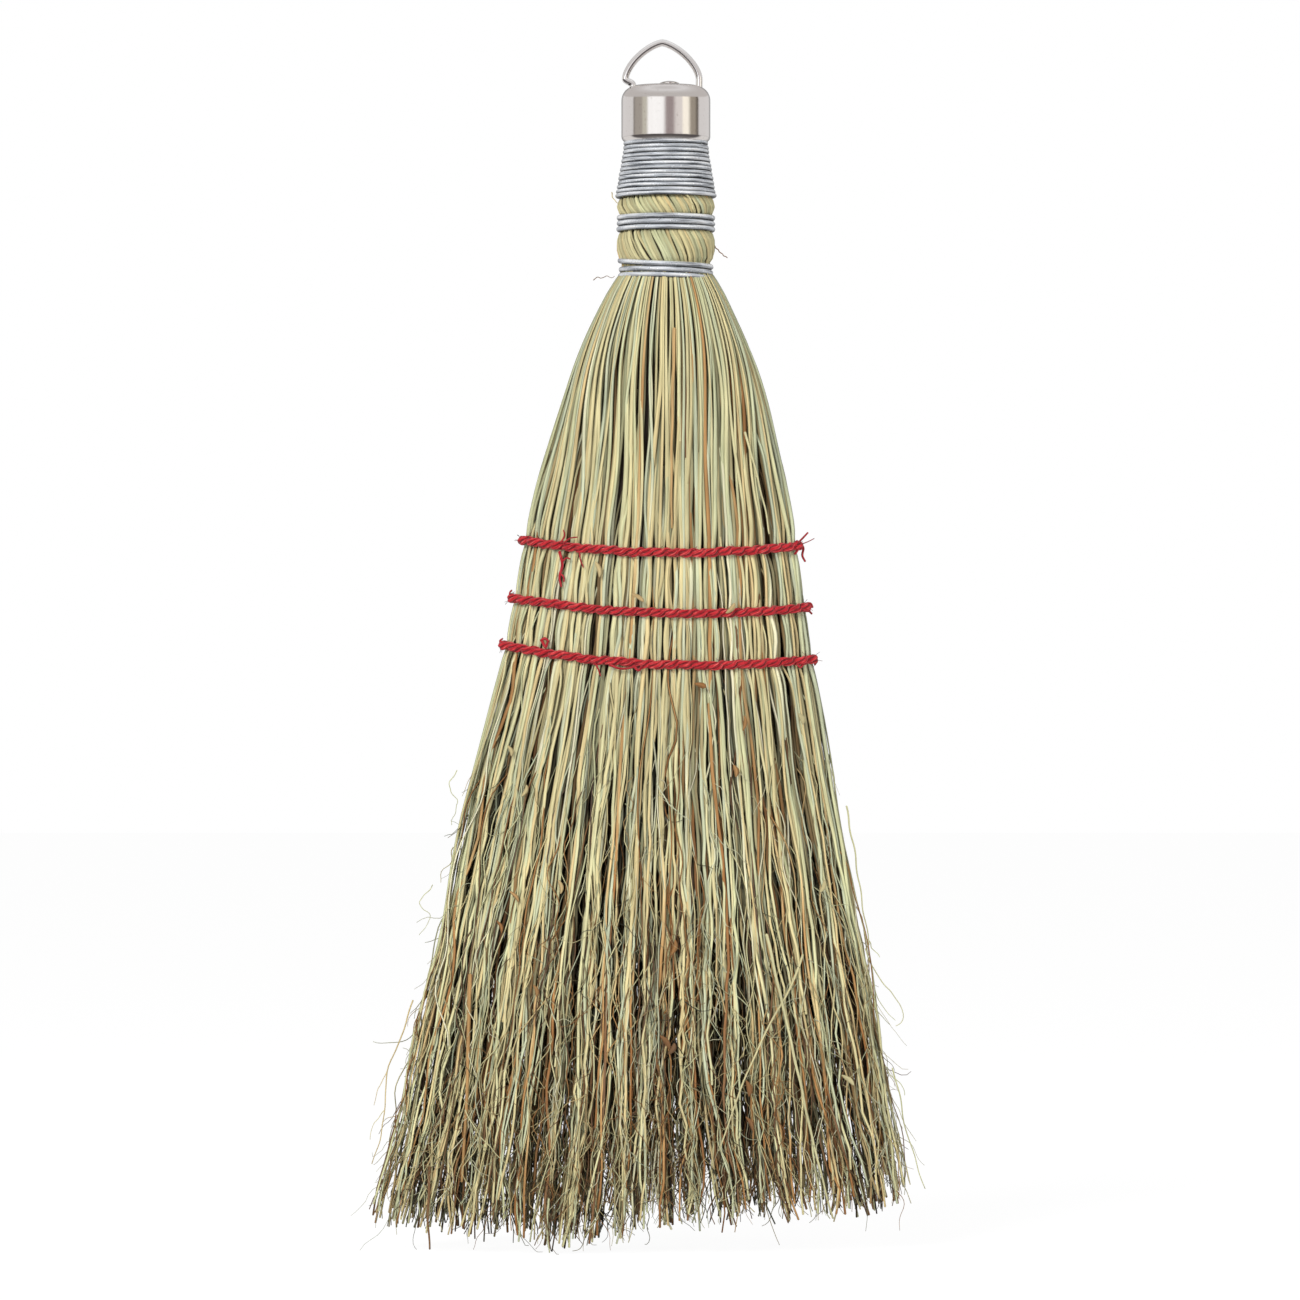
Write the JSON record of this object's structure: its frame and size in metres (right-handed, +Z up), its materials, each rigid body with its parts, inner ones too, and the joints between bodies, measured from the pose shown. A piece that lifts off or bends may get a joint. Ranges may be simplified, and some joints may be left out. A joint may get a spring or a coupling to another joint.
{
  "type": "whisk broom",
  "caption": "Hand whisk broom: straw fan sewn flat with red twine, wire-bound neck, plated cap and a swinging hang ring.",
  "frame": {"origin": "on the surface that the bristle ends stand on, midway along and across the fan of ends", "axes": "+Z up the broom from the bristle ends to the hang ring, +X to the right of the front face, +Y from the front face to the back face"},
  "size_m": [0.1378, 0.028, 0.3049],
  "materials": {
    "straw": "dry ribbed straw",
    "inner_straw": "dry straw in shade",
    "red_twine": "twisted waxed twine",
    "galvanised_wire": "galvanised wire",
    "nickel": "nickel plate"
  },
  "bodies": {
    "broom": {"cap_shell": "nickel", "cap_nail": "nickel", "neck_stalks": "straw", "upper_wire_binding": "galvanised_wire", "middle_wire_binding": "galvanised_wire", "lower_wire_binding": "galvanised_wire", "front_hurl": "straw", "back_hurl": "straw", "left_shoulder_straw": "straw", "right_shoulder_straw": "straw", "centre_straw": "inner_straw", "upper_twine_row": "red_twine", "middle_twine_row": "red_twine", "lower_twine_row": "red_twine"},
    "ring": {"hang_ring": "nickel"}
  },
  "joints": [
    {"name": "ring_swing", "type": "hinge", "parent": "broom", "child": "ring", "pos_m": [0.0048, 0, 0.29385], "axis": [1, 0, 0], "range_deg": [-45, 45]}
  ]
}
